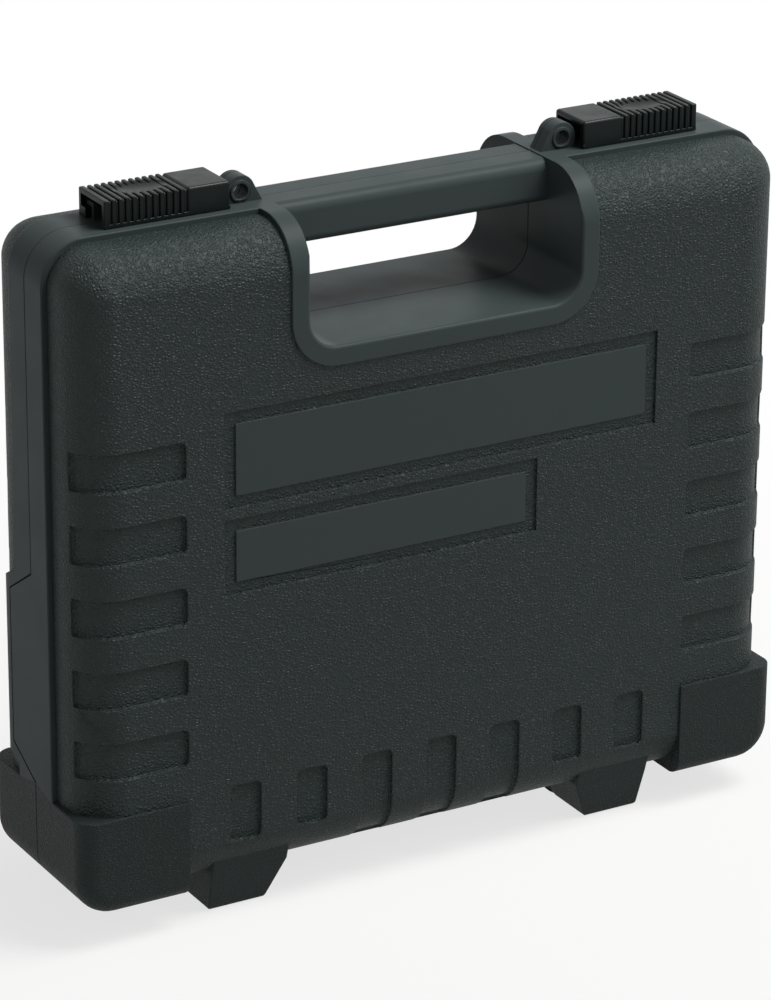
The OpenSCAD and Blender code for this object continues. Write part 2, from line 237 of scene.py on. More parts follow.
@dataclass(frozen=True)
class GrainedPolypropylene:
    """Black polypropylene moulded in an etched tool, so that it comes out with a leather grain.

    Polypropylene takes no paint and is coloured right through, so the eye sees one deep
    green-black, and the grain only as small glints where its pebbles turn to the light.
    """

    name: str = "leather_grained_polypropylene"
    colour: str = "#14201e"
    roughness: float = 0.42
    valley_roughness: float = 0.14
    ior: float = 1.49
    specular: float = 0.25
    pebble: float = 1.5 * MM
    pebble_rim: float = 0.42
    relief: float = 0.4 * MM
    bend_size: float = 4 * MM
    bend_reach: float = 1.6 * MM
    tooth: float = 0.55 * MM
    tooth_weight: float = 0.4

    def material(self) -> bpy.types.Material:
        """Builds the node material.

        Returns:
            The material, made once for all the faces that share it.
        """
        material = empty_material(self.name)
        tree = material.node_tree
        place = add_node(tree, "TexCoord").outputs["Object"]
        # The pebbles are bent by a coarser noise, so that no two look alike.
        bend = noise(tree, place, self.bend_size, output="Color")
        bent = add_node(
            tree,
            "VectorMath",
            {"operation": "MULTIPLY_ADD"},
            {0: bend, 1: (self.bend_reach,) * 3, 2: place},
        )
        cells = add_node(
            tree,
            "TexVoronoi",
            {"feature": "DISTANCE_TO_EDGE"},
            {"Vector": bent.outputs[0], "Scale": 1 / self.pebble},
        )
        domes = remap(tree, cells.outputs["Distance"], (0.0, self.pebble_rim), smooth=True)
        # A half-millimetre tooth lies over the pebbles, as an etched tool leaves it.
        height = add_scaled(tree, noise(tree, place, self.tooth), self.tooth_weight, domes)
        # The valleys hold the light a little less than the tops of the pebbles.
        gloss = remap(
            tree, domes, target=(self.roughness + self.valley_roughness, self.roughness)
        )
        inputs = {
            "Base Color": linear(self.colour),
            "Roughness": gloss,
            "IOR": self.ior,
            "Specular IOR Level": self.specular,
        }
        surface(tree, height, self.relief, inputs)
        return material


@dataclass(frozen=True)
class SatinPolypropylene:
    """Polypropylene from the stoned, ungrained parts of the tool: rims, window band and handle.

    It shrinks a little unevenly as it cools, so its satin highlight wavers over some 20 mm. Its
    colour holds painted sheen as well as the plastic's own black.
    """

    name: str = "satin_polypropylene"
    # Lighter than the grained faces' colour, though it is the same plastic: the black plastic's own
    # colour with painted sheen in it, standing in for the reflection that the low specular leaves
    # out.
    colour: str = "#343b3b"
    roughness: float = 0.4
    roughness_spread: tuple[float, float] = (-0.04, 0.05)
    ior: float = 1.49
    specular: float = 0.05
    shrink: float = 20 * MM
    stoning: float = 0.5 * MM
    stoning_weight: float = 0.1
    relief: float = 0.12 * MM

    def material(self) -> bpy.types.Material:
        """Builds the node material.

        Returns:
            The material, made once for all the faces that share it.
        """
        material = empty_material(self.name)
        tree = material.node_tree
        place = add_node(tree, "TexCoord").outputs["Object"]
        shrink = noise(tree, place, self.shrink, 3.0)
        height = add_scaled(tree, noise(tree, place, self.stoning), self.stoning_weight, shrink)
        low, high = self.roughness_spread
        inputs = {
            "Base Color": linear(self.colour),
            "Roughness": remap(
                tree, shrink, NOISE_RANGE, (self.roughness + low, self.roughness + high)
            ),
            "IOR": self.ior,
            "Specular IOR Level": self.specular,
        }
        surface(tree, height, self.relief, inputs)
        return material


@dataclass(frozen=True)
class MouldedAcetal:
    """Acetal of the slide latches, moulded in a fine-polished tool.

    It is a blacker and shinier plastic than the shells, with clean narrow highlights on its ribs.
    """

    name: str = "moulded_acetal"
    colour: str = "#0b1312"
    roughness: float = 0.3
    roughness_spread: tuple[float, float] = (-0.05, 0.08)
    ior: float = 1.48
    specular: float = 0.14
    spark: float = 0.35 * MM
    handling: float = 9 * MM
    relief: float = 0.02 * MM

    def material(self) -> bpy.types.Material:
        """Builds the node material.

        Returns:
            The material, made once for all the faces that share it.
        """
        material = empty_material(self.name)
        tree = material.node_tree
        place = add_node(tree, "TexCoord").outputs["Object"]
        low, high = self.roughness_spread
        handled = noise(tree, place, self.handling, 3.0)
        inputs = {
            "Base Color": linear(self.colour),
            "Roughness": remap(
                tree, handled, NOISE_RANGE, (self.roughness + low, self.roughness + high)
            ),
            "IOR": self.ior,
            "Specular IOR Level": self.specular,
        }
        surface(tree, noise(tree, place, self.spark), self.relief, inputs)
        return material


@dataclass(frozen=True)
class GroundSteel:
    """Centreless-ground steel of the hinge pins: bright, with rings of fine scratches round it."""

    name: str = "ground_steel_pin"
    colour: str = "#c4c8cb"
    roughness: float = 0.28
    roughness_spread: tuple[float, float] = (-0.08, 0.12)
    scratch: float = 0.2 * MM
    scratches_round: float = 60.0
    relief: float = 0.01 * MM

    def material(self) -> bpy.types.Material:
        """Builds the node material.

        Returns:
            The material, made once for all the faces that share it.
        """
        material = empty_material(self.name)
        tree = material.node_tree
        place = add_node(tree, "TexCoord").outputs["Object"]
        # Grinding marks lie round the pin, so they change quickly along X only.
        scale = (1 / self.scratch, self.scratches_round, self.scratches_round)
        stretched = add_node(tree, "Mapping", {}, {"Vector": place, "Scale": scale})
        marks = noise(tree, stretched.outputs["Vector"], 1.0, 3.0)
        low, high = self.roughness_spread
        inputs = {
            "Base Color": linear(self.colour),
            "Metallic": 1.0,
            "Roughness": remap(
                tree, marks, target=(self.roughness + low, self.roughness + high)
            ),
        }
        surface(tree, marks, self.relief, inputs)
        return material


@dataclass(frozen=True)
class OpenCellFoam:
    """Charcoal polyurethane foam, slabbed and cut with a blade.

    The cut opens its cells into half-millimetre hollows between soft struts, and it throws back
    almost no highlight. The hollows' darkness is painted shade: their middles are coloured darker.
    """

    name: str
    colour: str
    # Colour painted at the middles of the cell hollows, as their shade.
    pit_shade: str
    # Real cells of 0.6 mm would not show in the render, so they are drawn coarser.
    cell: float = 1.1 * MM
    strut: tuple[float, float] = (0.18, 0.62)
    slab: float = 18 * MM
    slab_weight: float = 0.5
    relief: float = 0.3 * MM
    roughness: float = 0.95
    ior: float = 1.4
    sheen: float = 0.25
    sheen_roughness: float = 0.6

    def material(self) -> bpy.types.Material:
        """Builds the node material.

        Returns:
            The material, made once for all the faces that share it.
        """
        material = empty_material(self.name)
        tree = material.node_tree
        place = add_node(tree, "TexCoord").outputs["Object"]
        cells = add_node(
            tree, "TexVoronoi", {"feature": "F1"}, {"Vector": place, "Scale": 1 / self.cell}
        )
        pit_depth_and_shade = remap(tree, cells.outputs["Distance"], self.strut, smooth=True)
        shade_and_mottle = add_scaled(tree, noise(tree, place, self.slab, 5.0), self.slab_weight, pit_depth_and_shade)
        # Painted shade: the cell middles take the darker colour, as shade would fall in them, and a
        # coarse noise mottles the tone at random.
        tint = add_node(
            tree,
            "Mix",
            {"data_type": "RGBA"},
            {0: shade_and_mottle, 6: linear(self.pit_shade), 7: linear(self.colour)},
        )
        inputs = {
            "Base Color": tint.outputs[2],
            "Roughness": self.roughness,
            "IOR": self.ior,
            "Sheen Weight": self.sheen,
            "Sheen Roughness": self.sheen_roughness,
        }
        surface(tree, pit_depth_and_shade, self.relief, inputs)
        return material


# ---- hand tools ----------------------------------------------------------------------------


def pick_only(piece: bpy.types.Object) -> None:
    """Deselects everything and makes one object the active one.

    Args:
        piece: The object that the next operators work on.
    """
    if bpy.context.object and bpy.context.object.mode != "OBJECT":
        bpy.ops.object.mode_set(mode="OBJECT")
    bpy.ops.object.select_all(action="DESELECT")
    piece.select_set(True)
    bpy.context.view_layer.objects.active = piece


def copy_of(node: str, name: str) -> bpy.types.Object:
    """Copies a CAD node's mesh into a piece of its own and joins its loose triangles.

    Args:
        node: The CAD node's name.
        name: The new piece's name.

    Returns:
        The piece, with one shared vertex at each corner.
    """
    mesh = frame["nodes"][node].data.copy()
    mesh.materials.clear()
    piece = bpy.data.objects.new(name, mesh)
    bpy.context.scene.collection.objects.link(piece)
    pick_only(piece)
    bpy.ops.mesh.customdata_custom_splitnormals_clear()
    bpy.ops.object.mode_set(mode="EDIT")
    bpy.ops.mesh.select_all(action="SELECT")
    bpy.ops.mesh.remove_doubles(threshold=WELD)
    bpy.ops.object.mode_set(mode="OBJECT")
    return piece


def merge_flat_faces(piece: bpy.types.Object, angle: float = 0.2) -> None:
    """Joins triangles that lie flat beside each other and share a material.

    Args:
        piece: The piece, in object mode.
        angle: The largest angle in degrees between triangles that count as flat.
    """
    pick_only(piece)
    bpy.ops.object.mode_set(mode="EDIT")
    bpy.ops.mesh.select_all(action="SELECT")
    bpy.ops.mesh.dissolve_limited(angle_limit=math.radians(angle), delimit={"MATERIAL"})
    bpy.ops.object.mode_set(mode="OBJECT")


def apply_all(piece: bpy.types.Object) -> None:
    """Applies every modifier of a piece, in their order.

    Args:
        piece: The piece, in object mode.
    """
    pick_only(piece)
    for modifier in list(piece.modifiers):
        bpy.ops.object.modifier_apply(modifier=modifier.name)


def smooth_faces(piece: bpy.types.Object, angle: float = 32.0) -> None:
    """Shades a piece smooth up to an angle, with flat faces kept flat beside their roundings.

    Args:
        piece: The piece, with its modifiers applied.
        angle: The largest angle in degrees that still shades smooth.
    """
    pick_only(piece)
    bpy.ops.object.shade_smooth_by_angle(angle=math.radians(angle))
    weighted = piece.modifiers.new("flat_faces_first", "WEIGHTED_NORMAL")
    weighted.mode = "FACE_AREA"
    weighted.keep_sharp = True
    apply_all(piece)


def rounded_distance(u: float, v: float, half_u: float, half_v: float, radius: float) -> float:
    """Distance from a rounded rectangle about the origin, below zero inside it.

    Args:
        u: First coordinate of the point.
        v: Second coordinate of the point.
        half_u: Half the rectangle's first side.
        half_v: Half its second side.
        radius: Radius of its corners.

    Returns:
        The signed distance.
    """
    du, dv = abs(u) - half_u + radius, abs(v) - half_v + radius
    outside = math.hypot(max(du, 0.0), max(dv, 0.0))
    return outside + min(max(du, dv), 0.0) - radius


def rolled_distance(
    p: Vector, half_size: tuple[float, float, float], corner: float, edge: float
) -> float:
    """Distance from a block whose corners are upright and whose edges roll over its faces.

    Args:
        p: The point, from the block's middle.
        half_size: Half the block's width, depth and height.
        corner: Radius of its four corners, seen from the front.
        edge: Radius of the edge round each broad face.

    Returns:
        The signed distance, below zero inside.
    """
    across = rounded_distance(p.x, p.z, half_size[0], half_size[2], corner)
    deep = abs(p.y) - half_size[1]
    if across + edge > 0 and deep + edge > 0:
        return math.hypot(across + edge, deep + edge) - edge
    return max(across, deep)


# ---- shells --------------------------------------------------------------------------------


class Half(Enum):
    """The two halves of the case, each with the side of the parting plane that it lies on."""

    LID = -1
    BASE = 1


class Skin(Enum):
    """What the tool leaves on a face of a shell, with its material slot."""

    SATIN = 0
    LEATHER = 1
    FINE = 2
    INSIDE = 3
    PARTING = 4
    PLATE = 5
    HANDLE = 6


@dataclass(frozen=True)
class EdgeRadii:
    """How far the tool's edges were rounded, by where they lie."""

    lug: float = 0.5 * MM
    latch_rail: float = 0.15 * MM
    seam: float = 0.3 * MM
    window: float = 1.6 * MM
    plate: float = 0.3 * MM
    band: float = 0.6 * MM
    tread: float = 1.8 * MM
    bumper: float = 0.6 * MM
    panel: float = 0.3 * MM
    slot: float = 0.65 * MM
    rim: float = 0.8 * MM
    other: float = 0.5 * MM
    largest: float = 2.0 * MM


@dataclass
class Shell:
    """One moulded half of the case: its CAD solid with rounded edges and three kinds of grain.

    The sizes are the CAD's own, in metres, and tell its faces apart.
    """

    half: Half
    case_w: float = 0.358
    low: float = 0.0152
    high: float = 0.315
    depth: float = 0.088
    rim_depth: float = 0.016
    rim_step: float = 0.0025
    rim_radius: float = 0.020
    face_radius: float = 0.022
    wall: float = 0.003
    grip_w: float = 0.1346
    grip_floor: float = 0.2583
    grip_radius: float = 0.014
    band: float = 0.009
    bumper_x: float = 0.1268
    bumper_top: float = 0.0614
    bumper_step: float = 0.0011
    bumper_edge: float = 0.009
    bumper_corner: float = 0.017
    foot_x: tuple[float, float] = (0.0755, 0.1132)
    foot_top: float = 0.028
    plate_y: float = 0.0437
    panel_y: float = 0.0427
    panel_z: tuple[float, float] = (0.15, 0.24)
    panel_x: float = 0.11
    slots_top: float = 0.245
    lug_x: float = 0.0875
    tab_y: float = 0.0235
    tab_z: tuple[float, float] = (0.060, 0.170)
    grip_height: float = 0.3
    band_y: float = 0.02
    band_edge: float = 0.6 * MM
    near: float = 0.2 * MM
    slot_dip: float = 0.25 * MM
    inside: float = 2.4 * MM
    rim_inside: float = 1.5 * MM
    broadside: float = 0.99
    sharp: float = 28.0
    radii: EdgeRadii = field(default_factory=EdgeRadii)
    finishes: list[bpy.types.Material] = field(default_factory=list)

    @property
    def middle(self) -> float:
        """Height of the middle of the shells above the floor."""
        return (self.low + self.high) / 2

    @property
    def tall(self) -> float:
        """Half the shells' height."""
        return (self.high - self.low) / 2

    def body_distance(self, p: Vector) -> float:
        """Distance of a point from the grained body's skin.

        Args:
            p: The point, in the frame's axes.

        Returns:
            The signed distance, below zero inside.
        """
        size = (self.case_w / 2 - self.rim_step, self.depth / 2, self.tall - self.rim_step)
        at = Vector((p.x, p.y, p.z - self.middle))
        return rolled_distance(at, size, self.rim_radius - self.rim_step, self.face_radius)

    def rim_distance(self, p: Vector) -> float:
        """Distance of a point from the smooth rim, below zero inside."""
        flat = rounded_distance(p.x, p.z - self.middle, self.case_w / 2, self.tall, self.rim_radius)
        return max(flat, abs(p.y) - self.rim_depth)

    def bumper_distance(self, p: Vector) -> float:
        """Distance of a point from the corner bumpers.

        Args:
            p: The point, in the frame's axes.

        Returns:
            The signed distance, below zero inside.
        """
        size = (self.case_w / 2, self.depth / 2 + self.bumper_step, self.tall)
        at = Vector((p.x, p.y, p.z - self.middle))
        return max(
            rolled_distance(at, size, self.bumper_corner, self.bumper_edge),
            self.bumper_x - abs(p.x),
            p.z - self.bumper_top,
        )

    def grip_distance(self, p: Vector) -> float:
        """Distance of a point from the hand opening's outline, seen from the front.

        Args:
            p: The point, in the frame's axes.

        Returns:
            The signed distance, below zero in the opening.
        """
        height = self.grip_height
        return rounded_distance(
            p.x, p.z - self.grip_floor - height, self.grip_w / 2, height, self.grip_radius
        )

    def skin_of(self, face: bmesh.types.BMFace) -> Skin:
        """Tells what the tool leaves on a face, by where the face lies.

        Args:
            face: A face of the shell.

        Returns:
            The kind of skin.
        """
        p = face.calc_center_median()
        y, grip = abs(p.y), self.grip_distance(p)
        body, rim, bumper = self.body_distance(p), self.rim_distance(p), self.bumper_distance(p)
        broadside = abs(face.normal.y) > self.broadside
        if y < SEAM and broadside:
            return Skin.PARTING
        if grip < HAIR:
            return Skin.HANDLE
        if p.z > self.high + TRACE:
            return Skin.SATIN
        on_foot = self.foot_x[0] - MM < abs(p.x) < self.foot_x[1] + MM and p.z < self.foot_top
        if on_foot and body > self.near and rim > -self.inside:
            return Skin.FINE
        if grip < self.band + self.band_edge and body > -self.near:
            return Skin.SATIN
        inside_rim = y < self.rim_depth and rim < -self.rim_inside
        if max(body, rim, bumper) < -self.inside or inside_rim:
            return Skin.INSIDE
        if abs(p.x) > self.bumper_x - HAIR and p.z < self.bumper_top + HAIR:
            return Skin.FINE
        on_plate = abs(y - self.plate_y) < TRACE and face.normal.y < 0
        if self.half is Half.LID and on_plate and broadside:
            return Skin.PLATE
        if y > self.rim_depth + TRACE and body < STRAY:
            return Skin.LEATHER
        return Skin.SATIN

    def beside_tab(self, p: Vector) -> bool:
        """Tells whether a point lies by a side tab's seam, where the CAD leaves 0.2 mm strips."""
        beside = (
            self.rim_depth < abs(p.y) < self.tab_y and self.tab_z[0] < p.z < self.tab_z[1]
        )
        return beside and abs(p.x) > self.case_w / 2 - self.wall - MM

    def rounding_of(self, edge: bmesh.types.BMEdge, skins: set[Skin]) -> float:
        """Radius that an edge gets, as the tool was rounded there.

        Args:
            edge: A sharp edge of the shell.
            skins: The skins of its two faces.

        Returns:
            The radius in metres, zero to leave the edge as it is.
        """
        p = (edge.verts[0].co + edge.verts[1].co) / 2
        y, grip, radii = abs(p.y), self.grip_distance(p), self.radii
        if p.z > self.high + STRAY:
            return radii.lug if abs(p.x) < self.lug_x and y > SEAM else radii.latch_rail
        if Skin.INSIDE in skins or (self.half is Half.BASE and self.beside_tab(p)):
            return 0.0
        if skins == {Skin.LEATHER}:
            # Only a slot's or a panel's wall dips below the skin, and none lies near the top.
            depths = [self.body_distance(f.calc_center_median()) for f in edge.link_faces]
            if p.z > self.slots_top or min(depths) > -self.slot_dip:
                return 0.0
        if Skin.PARTING in skins:
            return 0.0 if skins == {Skin.PARTING} else radii.seam
        if abs(grip) < STRAY and y > self.depth / 2:
            return radii.window
        if Skin.HANDLE in skins or (not edge.is_convex and skins != {Skin.LEATHER}):
            return 0.0
        if Skin.PLATE in skins:
            return radii.plate
        if abs(grip - self.band) < STRAY and y > self.band_y:
            return radii.band
        if Skin.FINE in skins:
            on_tread = max(vertex.co.z for vertex in edge.verts) < HAIR
            return radii.tread if on_tread else radii.bumper
        if skins == {Skin.LEATHER}:
            in_panel = self.half is Half.LID and y > self.panel_y and abs(p.x) < self.panel_x
            in_panel = in_panel and self.panel_z[0] < p.z < self.panel_z[1]
            return radii.panel if in_panel else radii.slot
        return radii.rim if y < self.rim_depth + STRAY else radii.other

    def build(self) -> bpy.types.Object:
        """Copies the CAD half, sorts its faces by skin and rounds its edges.

        Returns:
            The finished mesh, not yet riding on its body.
        """
        node = "lid_shell" if self.half is Half.LID else "base_shell"
        piece = copy_of(node, node + "_moulding")
        mesh = bmesh.new()
        mesh.from_mesh(piece.data)
        for face in mesh.faces:
            face.material_index = self.skin_of(face).value
        mesh.to_mesh(piece.data)
        mesh.free()
        # Each skin keeps its own faces, so a large face's middle never decides for the window.
        for _ in Skin:
            piece.data.materials.append(self.finishes[0])
        merge_flat_faces(piece)
        mesh = bmesh.new()
        mesh.from_mesh(piece.data)
        weights = mesh.edges.layers.float.new("bevel_weight_edge")
        skins = {face.index: Skin(face.material_index) for face in mesh.faces}
        for face in mesh.faces:
            face.material_index = {Skin.LEATHER: 1, Skin.FINE: 2}.get(skins[face.index], 0)
        for edge in mesh.edges:
            if edge.is_manifold and edge.calc_face_angle() > math.radians(self.sharp):
                kinds = {skins[face.index] for face in edge.link_faces}
                edge[weights] = self.rounding_of(edge, kinds) / self.radii.largest
        mesh.to_mesh(piece.data)
        mesh.free()
        bevel = piece.modifiers.new("moulded_edges", "BEVEL")
        bevel.limit_method = "WEIGHT"
        bevel.width = self.radii.largest
        bevel.segments = 3
        bevel.use_clamp_overlap = False
        bevel.loop_slide = True
        bevel.miter_outer = "MITER_ARC"
        apply_all(piece)
        # Clearing the slots would send every face back to the first, so they are filled in place.
        for slot, finish in enumerate(self.finishes):
            piece.data.materials[slot] = finish
        while len(piece.data.materials) > len(self.finishes):
            piece.data.materials.pop(index=len(piece.data.materials) - 1)
        smooth_faces(piece)
        return piece

    def dress(self, piece: bpy.types.Object) -> bpy.types.Object:
        """Lets the moulding stand for its CAD node and move with its body.

        Args:
            piece: The finished mesh.

        Returns:
            The same mesh, riding.
        """
        lid = self.half is Half.LID
        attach(piece, "lid" if lid else "base")
        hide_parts("lid_shell" if lid else "base_shell")
        return piece


# ---- slide latches -------------------------------------------------------------------------


class Side(Enum):
    """The two ends of the case, each with the sign of its X."""

    LEFT = -1
    RIGHT = 1


@dataclass
class SlideLatch:
    """A slider with finger ribs over its outer part, a thumb dish among them and a smooth pad."""

    side: Side
    finish: bpy.types.Material
    inner_x: float = 0.0878
    length: float = 0.0594
    width: float = 0.024
    low: float = 0.31535
    height: float = 0.0122
    wall: float = 0.0022
    rib_pitch: float = 0.0032
    rib_gap: float = 0.0011
    rib_depth: float = 0.0009
    ribs: int = 12
    end_rib: float = 0.0038
    skirt: float = 0.0016
    dish: tuple[float, float, float] = (0.013, 0.0074, 0.0015)
    dish_from_end: float = 0.0225
    body_edge: float = 0.9 * MM
    skirt_edge: float = 0.3 * MM
    pad_edge: float = 1.4 * MM
    rib_edge: float = 0.65 * MM
    overlap: float = 0.1 * MM
    hook_y: float = 0.0057
    hook_top: float = 0.31985
    hook_starts: tuple[float, float] = (0.0923, 0.1203)
    hook_length: float = 0.011

    @property
    def outer_x(self) -> float:
        """The slider's outer end."""
        return self.inner_x + self.length

    @property
    def top(self) -> float:
        """Height of the slider's top."""
        return self.low + self.height

    def block(
        self, low: tuple[float, float, float], high: tuple[float, float, float], rounding: float
    ) -> bpy.types.Object:
        """Makes a block from a primitive, with its upper and upright edges rounded in edit mode.

        Args:
            low: Its lowest corner.
            high: Its highest corner.
            rounding: Radius of its edges, zero for none.

        Returns:
            The block.
        """
        bpy.ops.object.select_all(action="DESELECT")
        middle = [(a + b) / 2 for a, b in zip(low, high)]
        size = [b - a for a, b in zip(low, high)]
        bpy.ops.mesh.primitive_cube_add(size=1.0, location=middle)
        block = bpy.context.object
        block.scale = size
        bpy.ops.object.transform_apply(location=True, rotation=True, scale=True)
        if rounding > 0:
            bpy.ops.object.mode_set(mode="EDIT")
            mesh = bmesh.from_edit_mesh(block.data)
            for edge in mesh.edges:
                edge.select = max(v.co.z for v in edge.verts) > high[2] - 0.01 * MM
            bmesh.update_edit_mesh(block.data)
            bpy.ops.mesh.bevel(offset=rounding, segments=4, affect="EDGES")
            bpy.ops.object.mode_set(mode="OBJECT")
        return block

    def combine(self, body: bpy.types.Object, tools: list[bpy.types.Object], way: str) -> None:
        """Joins tools to the body, or cuts them out, in one pass, and throws the tools away.

        Args:
            body: The solid that changes.
            tools: The solids that are used up.
            way: UNION or DIFFERENCE.
        """
        bench = bpy.data.collections.new("bench")
        for tool in tools:
            bench.objects.link(tool)
        cut = body.modifiers.new("cut", "BOOLEAN")
        cut.operation, cut.operand_type, cut.solver = way, "COLLECTION", "EXACT"
        cut.collection = bench
        apply_all(body)
        for tool in tools:
            bpy.data.objects.remove(tool, do_unlink=True)
        bpy.data.collections.remove(bench)

    def thumb_dish(self) -> bpy.types.Object:
        """Makes the ellipsoid that sinks the thumb dish into the ribs.

        Its middle lies 1.5 depths above the top and its half height is 2.5 depths, so it dips one
        depth below the top and meets it at 0.8 of its length and width.

        Returns:
            The ellipsoid, to be cut out.
        """
        half_l, half_w, depth = self.dish
        centre = (self.outer_x - self.dish_from_end, 0.0, self.top + 1.5 * depth)
        bpy.ops.object.select_all(action="DESELECT")
        bpy.ops.mesh.primitive_uv_sphere_add(
            segments=64, ring_count=48, radius=1.0, location=centre
        )
        dish = bpy.context.object
        dish.scale = (half_l / 0.8, half_w / 0.8, depth / 0.4)
        bpy.ops.object.transform_apply(location=True, rotation=True, scale=True)
        return dish

    def build(self) -> bpy.types.Object:
        """Models the right-hand slider, and mirrors it for the left.

        Returns:
            The finished mesh.
        """
        y, deep, low, top = self.width / 2, self.rib_depth, self.low, self.top
        first, last = self.inner_x, self.outer_x
        body = self.block((first, deep - y, low), (last, y - deep, top - deep), self.body_edge)
        body.name = f"slide_latch_{self.side.name.lower()}"
        added = [self.block((first, -y, low), (last, y, low + self.skirt), self.skirt_edge)]
        last_gap = last - self.end_rib - (self.ribs - 1) * self.rib_pitch
        added.append(self.block((first, -y, low), (last_gap, y, top), self.pad_edge))
        for index in range(self.ribs):
            start = last_gap + self.rib_gap + index * self.rib_pitch
            end = min(start + self.rib_pitch - self.rib_gap, last)
            end = last if index == self.ribs - 1 else end
            added.append(self.block((start, -y, low), (end, y, top), self.rib_edge))
        self.combine(body, added, "UNION")
        inner = y - self.wall
        channel = self.block(
            (first - MM, -inner, low - MM), (last + MM, inner, top - self.wall), 0.0
        )
        self.combine(body, [self.thumb_dish(), channel], "DIFFERENCE")
        into = inner + self.overlap
        hooks = [self.block((first, self.hook_y, low), (last, into, self.hook_top), 0.0)]
        for x in self.hook_starts:
            end = x + self.hook_length
            hooks.append(self.block((x, -into, low), (end, -self.hook_y, self.hook_top), 0.0))
        self.combine(body, hooks, "UNION")
        if self.side is Side.LEFT:
            body.data.transform(Matrix.Diagonal((-1.0, 1.0, 1.0, 1.0)))
        pick_only(body)
        bpy.ops.object.mode_set(mode="EDIT")
        bpy.ops.mesh.select_all(action="SELECT")
        bpy.ops.mesh.remove_doubles(threshold=WELD)
        bpy.ops.mesh.normals_make_consistent(inside=False)
        bpy.ops.object.mode_set(mode="OBJECT")
        body.data.materials.clear()
        body.data.materials.append(self.finish)
        smooth_faces(body)
        return body

    def dress(self, piece: bpy.types.Object) -> bpy.types.Object:
        """Lets the latch stand for its CAD slider and slide with it.

        Args:
            piece: The finished mesh.

        Returns:
            The same mesh, riding.
        """
        side = self.side.name.lower()
        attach(piece, f"slider_{side}")
        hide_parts(f"latch_slider_{side}")
        return piece


# ---- foam ----------------------------------------------------------------------------------


class Cut(Enum):
    """How a foam's face was cut."""

    FLAT = 0
    EGG_CRATE = 1


@dataclass
class Foam:
    """A foam insert: its slab, softened along its cut edges and hollowed where it is convoluted."""

    node: str
    body: str
    cut: Cut
    finish: bpy.types.Material
    voxel: float = 0.0028
    slack: float = 0.0003
    remesh_swell: float = 0.0004
    pitch: float = 0.025
    valley: float = 0.006
    smooth_angle: float = 50.0

    def build(self) -> bpy.types.Object:
        """Remeshes a copy of the slab, draws it in from the shells and cuts its face.

        Returns:
            The finished foam.
        """
        piece = copy_of(self.node, self.node + "_cut")
        corners = [Vector(c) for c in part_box(self.node)]
        middle, size = (corners[0] + corners[1]) / 2, corners[1] - corners[0]
        remesh = piece.modifiers.new("soft_edges", "REMESH")
        remesh.mode, remesh.voxel_size = "VOXEL", self.voxel
        apply_all(piece)
        back = corners[0].y
        for vertex in piece.data.vertices:
            for axis in range(3):
                shrink = 1 - 2 * (self.slack + self.remesh_swell) / size[axis]
                vertex.co[axis] = middle[axis] + (vertex.co[axis] - middle[axis]) * shrink
            if self.cut is Cut.EGG_CRATE:
                wave = math.cos(math.tau * vertex.co.x / self.pitch)
                wave *= math.cos(math.tau * vertex.co.z / self.pitch)
                thick = 1 - self.valley * (1 - wave) / 2 / size.y
                vertex.co.y = back + (vertex.co.y - back) * thick
        piece.data.materials.clear()
        piece.data.materials.append(self.finish)
        pick_only(piece)
        bpy.ops.object.shade_smooth_by_angle(angle=math.radians(self.smooth_angle))
        return piece

    def dress(self, piece: bpy.types.Object) -> bpy.types.Object:
        """Args:
            piece: The finished foam.

        Returns:
            The same foam, riding.
        """
        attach(piece, self.body)
        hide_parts(self.node)
        return piece


# ---- camera and studio ---------------------------------------------------------------------


@dataclass
class PhotoCamera:
    """The camera where the photograph was taken from, fitted to the case's own edges."""

    yaw: float = 30.14
    pitch: float = 21.68
    roll: float = 0.43
    aim: tuple[float, float, float] = (0.0, 0.0, 0.150)
    right: float = -0.00374
    up: float = 0.01128
    away: float = 2.00322
    lens: float = 161.73
    sensor: float = 36.0
    clip: tuple[float, float] = (0.05, 60.0)

    def build(self) -> bpy.types.Object:
        """Places the camera and makes it the scene's.

        Returns:
            The camera object.
        """
        yaw, pitch, roll = (math.radians(a) for a in (self.yaw, self.pitch, self.roll))
        ahead = Vector(
            (math.sin(yaw) * math.cos(pitch), math.cos(yaw) * math.cos(pitch), -math.sin(pitch))
        )
        level = Vector((math.cos(yaw), -math.sin(yaw), 0.0))
        above = level.cross(ahead)
        right = math.cos(roll) * level + math.sin(roll) * above
        above = -math.sin(roll) * level + math.cos(roll) * above
        data = bpy.data.cameras.new("photo_camera")
        data.lens = self.lens
        data.sensor_width = self.sensor
        data.clip_start, data.clip_end = self.clip
        camera = bpy.data.objects.new("photo_camera", data)
        bpy.context.scene.collection.objects.link(camera)
        turn = Matrix((right, above, -ahead)).transposed()
        place = Vector(self.aim) + self.right * right + self.up * above - self.away * ahead
        camera.matrix_world = Matrix.Translation(place) @ turn.to_4x4()
        bpy.context.scene.camera = camera
        return camera


@dataclass(frozen=True)
class SoftBox:
    """A square studio lamp that looks at a point."""

    name: str
    place: tuple[float, float, float]
    aim: tuple[float, float, float]
    side: float
    watts: float

    def build(self) -> bpy.types.Object:
        """Hangs the lamp.

        Returns:
            The lamp object.
        """
        data = bpy.data.lights.new(self.name, "AREA")
        data.shape = "SQUARE"
        data.size = self.side
        data.energy = self.watts
        lamp = bpy.data.objects.new(self.name, data)
        bpy.context.scene.collection.objects.link(lamp)
        look = Vector(self.aim) - Vector(self.place)
        lamp.location = self.place
        lamp.rotation_euler = look.to_track_quat("-Z", "Y").to_euler()
        return lamp


